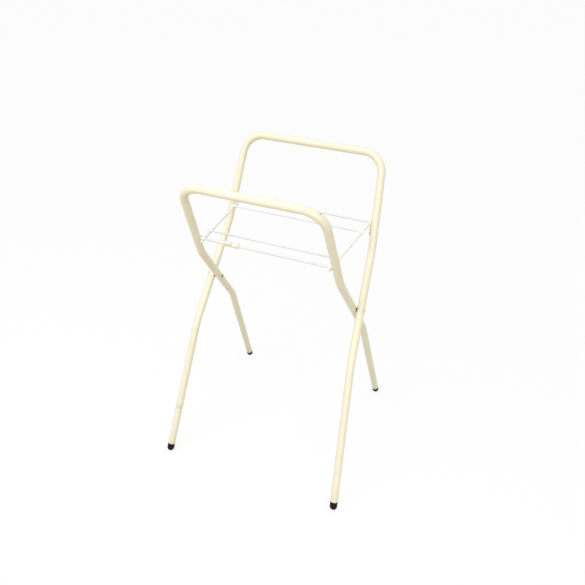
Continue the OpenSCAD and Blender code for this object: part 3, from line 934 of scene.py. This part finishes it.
class STAND_OT_rack_sleeve(bpy.types.Operator):
    """Make the grooved sleeve on the front wire"""
    bl_idname = "bath_stand.rack_sleeve"
    bl_label = "Rack sleeve"

    def execute(self, context):
        rack = context.scene.stand_rack
        run = SLEEVE_HIGH.x - SLEEVE_LOW.x
        mesh = self.tube(rack, run)
        ruffle(mesh, amount=0.00008, size=0.008, seed=3)
        place = Matrix.Translation((SLEEVE_LOW.x, rack.hinge_y, rack.hinge_height)) @ ALONG_X
        piece("sleeve", mesh, place, sleeve_plastic(rack, run), "rack", ["rack_sleeve"])
        return {"FINISHED"}

    def tube(self, rack, run):
        """Thick tube with rounded ends. A groove runs along its left half and turns up over it."""
        mesh = bmesh.new()
        waviness, play, tip = 0.0001, 0.00004, 0.0009
        outside, bore = rack.sleeve_radius - waviness, rack.rim_radius + play
        facets, rows = 120, 84
        turns = [2 * math.pi * k / facets for k in range(facets)]
        rings = []
        for i in range(rows + 1):
            h = run * i / rows
            inset = max(0.0, tip - min(h, run - h))
            radius = outside - tip + math.sqrt(max(0.0, tip * tip - inset * inset))
            radii = [radius - (rack.groove if self.in_groove(rack, run, h, t) else 0.0) for t in turns]
            rings.append(hoop(mesh, turns, radii, h))
        rings += [hoop(mesh, turns, [bore] * facets, h) for h in (run, 0.0)]
        for low, high in zip(rings, rings[1:] + rings[:1]):
            for k in range(facets):
                j = (k + 1) % facets
                mesh.faces.new((low[k], low[j], high[j], high[k]))
        return mesh

    def in_groove(self, rack, run, h, turn):
        """Whether a point is in the groove along the sleeve or in the part that goes up over it."""
        half, end, climb = rack.groove / 2, run * rack.groove_end, math.radians(150)
        above = rack.groove_turn - turn
        along = h < end and abs(above) * rack.sleeve_radius < half
        across = abs(h - end) < half and -half < above * rack.sleeve_radius and above < climb
        return along or across


class STAND_OT_rack_bushes(bpy.types.Operator):
    """Make the flanged bushes that the front wire turns in"""
    bl_idname = "bath_stand.rack_bushes"
    bl_label = "Rack bushes"

    # From a ring groove to the rim: distance out from the rim, and depth under the face
    FACE = ((-0.0019, 0.0), (-0.0017, 0.00025), (-0.0013, 0.00025), (-0.0011, 0.0), (-0.0005, 0.0),
            (-0.00015, 0.00015), (0.0, 0.0005))

    def execute(self, context):
        rack = context.scene.stand_rack
        nylon = moulded("nylon_bush", rack.nylon, toned(rack.nylon, 0.9), 0.40).material
        play, mouth, back, lead, bevel = 0.00005, 0.0004, 0.0003, 0.0006, 0.0002
        run, hole = BUSH_HIGH.x - BUSH_LOW.x, rack.rim_radius + play
        flange, thick, body = rack.flange_radius, rack.bush_flange, rack.bush_radius
        profile = [(hole, mouth), (hole + mouth, 0.0)] + [(flange + out, down) for out, down in self.FACE]
        profile += [(flange, thick - back), (flange - back, thick), (body, thick), (body, run - lead),
                    (body - lead, run), (hole + bevel, run), (hole, run - bevel)]
        place = Matrix.Translation((BUSH_LOW.x, rack.hinge_y, rack.hinge_height)) @ ALONG_X
        both_sides("bush", "rack_bush", lambda side: lathe(profile, facets=48, closed=True), place, nylon,
                   "inner")
        return {"FINISHED"}


class STAND_OT_rack_seats(bpy.types.Operator):
    """Make the slotted seat plates and their blind rivets"""
    bl_idname = "bath_stand.rack_seats"
    bl_label = "Rack seats"

    # The broken pin and the head's mouth: radius, and share of the head's height
    PIN = ((0.0, 0.55), (0.0009, 0.55), (0.0010, 0.45), (0.0012, 0.50), (0.0013, 0.97))

    def execute(self, context):
        tube, pivot = context.scene.stand_tube, context.scene.stand_pivot
        rack, seat = context.scene.stand_rack, context.scene.stand_seat
        paint = cream_paint("seat_paint", tube, pivot, worn_inside=True)
        bright = steel("bright_rivet_steel", seat.steel, seat.steel_dull, 0.36)
        drop = (rack.rear_height - tube.top_height) / math.cos(tube.splay)
        for name, side in SIDES.items():
            piece(f"seat_plate_{name}", self.rounded(seat, f"rack_seat_{name}"), Matrix.Identity(4), paint,
                  "outer", [f"rack_seat_{name}"], sharp=50)
            place = (mirrored(side) @ leg_plane(tube, tube.outer_half)
                     @ Matrix.Translation((0, leg_y(tube, rack.rear_height), drop))
                     @ Matrix.Rotation(loop_heading(tube) - math.radians(90), 4, "X")
                     @ Matrix.Translation((-tube.tube_radius - seat.thickness, 0, -seat.rivet_drop))
                     @ ALONG_X)
            mesh = lathe(self.blind_rivet(tube, seat), facets=48)
            piece(f"blind_rivet_{name}", mesh, place, bright, "outer", [f"seat_rivet_{name}"])
        return {"FINISHED"}

    def rounded(self, seat, node):
        """Copy of a seat's solid with rounded edges."""
        mesh = bmesh.new()
        mesh.from_mesh(frame["nodes"][node].data)
        bmesh.ops.remove_doubles(mesh, verts=mesh.verts, dist=1e-6)
        bmesh.ops.dissolve_limit(mesh, angle_limit=math.radians(1), verts=mesh.verts, edges=mesh.edges)
        blank = placed("blank", baked("blank", mesh))
        bevel = blank.modifiers.new("edge", "BEVEL")
        bevel.width = seat.edge
        bevel.segments = 3
        bevel.limit_method = "ANGLE"
        bevel.angle_limit = math.radians(45)
        return settled(blank)

    def blind_rivet(self, tube, seat):
        """Domed head with the broken pin in its middle, and the shank to the tube's bore."""
        radius, height, shank = seat.rivet_radius, seat.rivet_height, seat.rivet_shank
        edge, rim, chamfer, dome, steps = 0.0002, 0.0001, 0.0004, 0.62, 8
        mouth, end = self.PIN[-1][0], seat.thickness + tube.tube_radius
        points = [(r, -height * rise) for r, rise in self.PIN]
        for i in range(1, steps + 1):
            r = mouth + (radius - edge - mouth) * i / steps
            points.append((r, -height * (1 - dome * ((r - mouth) / (radius - mouth)) ** 2)))
        points += [(radius, -height * 0.22), (radius - rim, 0.0), (shank, 0.0),
                   (shank, end - chamfer), (shank - chamfer, end), (0.0, end)]
        return points


class STAND_OT_stage(bpy.types.Operator):
    """Set up the floor, the light and the camera"""
    bl_idname = "bath_stand.stage"
    bl_label = "Stage"

    FLOOR_HALF, FLOOR_GAP = 40, 0.0001
    SENSOR, CLIP = 36.0, (0.01, 200.0)

    def execute(self, context):
        stage = context.scene.stand_stage
        self.floor(stage)
        self.sky(context, stage)
        self.lamp("key_lamp", stage.key, stage.key_size, stage.key_place, stage.key_aim)
        self.lamp("fill_lamp", stage.fill, stage.fill_size, stage.fill_place, stage.fill_aim)
        self.camera(context, stage)
        context.scene.view_settings.view_transform = "Standard"
        return {"FINISHED"}

    def in_view(self, tree):
        """1 for rays that see the background, in the camera, a gloss or a glass."""
        rays = add_node(tree, "ShaderNodeLightPath").outputs
        seen = rays["Is Camera Ray"]
        for other in ("Is Glossy Ray", "Is Transmission Ray"):
            seen = add_node(tree, "ShaderNodeMath", {0: seen, 1: rays[other]}, operation="MAXIMUM").outputs[0]
        return seen

    def blend(self, tree, factor, first, second):
        """Mix of two shaders by a number or by another node."""
        inputs = {0: factor, 1: first.outputs[0], 2: second.outputs[0]}
        return add_node(tree, "ShaderNodeMixShader", inputs)

    def floor(self, stage):
        mesh = bmesh.new()
        bmesh.ops.create_grid(mesh, x_segments=8, y_segments=8, size=self.FLOOR_HALF)
        data = baked("floor", mesh)
        obj = placed("floor", data)
        obj.location.z = -self.FLOOR_GAP
        material = bpy.data.materials.new("pale_floor")
        material.use_nodes = True
        tree = material.node_tree
        tree.nodes.remove(tree.nodes["Principled BSDF"])
        pale = add_node(tree, "ShaderNodeBsdfDiffuse", {"Color": (*stage.floor, 1)})
        dim = add_node(tree, "ShaderNodeBsdfDiffuse", {"Color": (*stage.floor_bounce, 1)})
        seen = self.blend(tree, stage.floor_glow, pale, add_node(tree, "ShaderNodeEmission"))
        mixed = self.blend(tree, self.in_view(tree), dim, seen)
        tree.links.new(mixed.outputs[0], tree.nodes["Material Output"].inputs["Surface"])
        data.materials.append(material)

    def sky(self, context, stage):
        world = bpy.data.worlds.new("even_light")
        context.scene.world = world
        world.use_nodes = True
        tree = world.node_tree
        tree.nodes.remove(tree.nodes["Background"])
        soft, white = (add_node(tree, "ShaderNodeBackground", {"Color": (1, 1, 1, 1), "Strength": strength})
                       for strength in (stage.sky, 1.0))
        mixed = self.blend(tree, self.in_view(tree), soft, white)
        tree.links.new(mixed.outputs[0], tree.nodes["World Output"].inputs["Surface"])

    def lamp(self, name, power, size, place, aim):
        data = bpy.data.lights.new(name, "AREA")
        data.energy = power
        data.shape = "SQUARE"
        data.size = size
        obj = placed(name, data)
        obj.location = place
        obj.rotation_euler = (Vector(aim) - Vector(place)).to_track_quat("-Z", "Y").to_euler()

    def camera(self, context, stage):
        az, el, roll = stage.azimuth, stage.elevation, stage.roll
        back = Vector((math.sin(az) * math.cos(el), -math.cos(az) * math.cos(el), math.sin(el)))
        right = (-back).cross(Vector((0, 0, 1))).normalized()
        up = right.cross(-back)
        turned_right = right * math.cos(roll) + up * math.sin(roll)
        turned_up = up * math.cos(roll) - right * math.sin(roll)
        data = bpy.data.cameras.new("camera")
        data.sensor_width = self.SENSOR
        data.lens = stage.lens
        data.clip_start, data.clip_end = self.CLIP
        obj = placed("camera", data)
        turn = Matrix((turned_right, turned_up, back)).transposed().to_4x4()
        obj.matrix_world = Matrix.Translation(stage.camera_place) @ turn
        context.scene.camera = obj


OPERATORS = (STAND_OT_tube_frames, STAND_OT_pivot_rivets, STAND_OT_pivot_spacers, STAND_OT_foot_plugs,
             STAND_OT_rack_wires, STAND_OT_rack_welds, STAND_OT_rack_sleeve, STAND_OT_rack_bushes,
             STAND_OT_rack_seats, STAND_OT_stage)


class STAND_PT_panel(bpy.types.Panel):
    """Sizes, colours and steps of the stand"""
    bl_idname = "STAND_PT_panel"
    bl_label = "Bath stand"
    bl_space_type = "VIEW_3D"
    bl_region_type = "UI"
    bl_category = "Bath stand"

    def draw(self, context):
        layout = self.layout
        for operator in OPERATORS:
            layout.operator(operator.bl_idname)
        for name, group in PROPS.items():
            box = layout.box()
            box.label(text=group.__doc__)
            for prop in group.__annotations__:
                box.prop(getattr(context.scene, name), prop)


def register():
    for group in PROPS.values():
        bpy.utils.register_class(group)
    for name, group in PROPS.items():
        setattr(bpy.types.Scene, name, PointerProperty(type=group))
    for operator in OPERATORS:
        bpy.utils.register_class(operator)
    bpy.utils.register_class(STAND_PT_panel)


def unregister():
    bpy.utils.unregister_class(STAND_PT_panel)
    for operator in reversed(OPERATORS):
        bpy.utils.unregister_class(operator)
    for name, group in PROPS.items():
        delattr(bpy.types.Scene, name)
        bpy.utils.unregister_class(group)


def clear_start_objects():
    kept = set(frame["nodes"].values()) | set(frame["bodies"].values())
    for obj in list(bpy.data.objects):
        if obj not in kept:
            bpy.data.objects.remove(obj)


def main():
    register()
    clear_start_objects()
    bpy.ops.bath_stand.tube_frames()
    bpy.ops.bath_stand.pivot_rivets()
    bpy.ops.bath_stand.pivot_spacers()
    bpy.ops.bath_stand.foot_plugs()
    bpy.ops.bath_stand.rack_wires()
    bpy.ops.bath_stand.rack_welds()
    bpy.ops.bath_stand.rack_sleeve()
    bpy.ops.bath_stand.rack_bushes()
    bpy.ops.bath_stand.rack_seats()
    bpy.ops.bath_stand.stage()


if __name__ == "__main__":
    main()
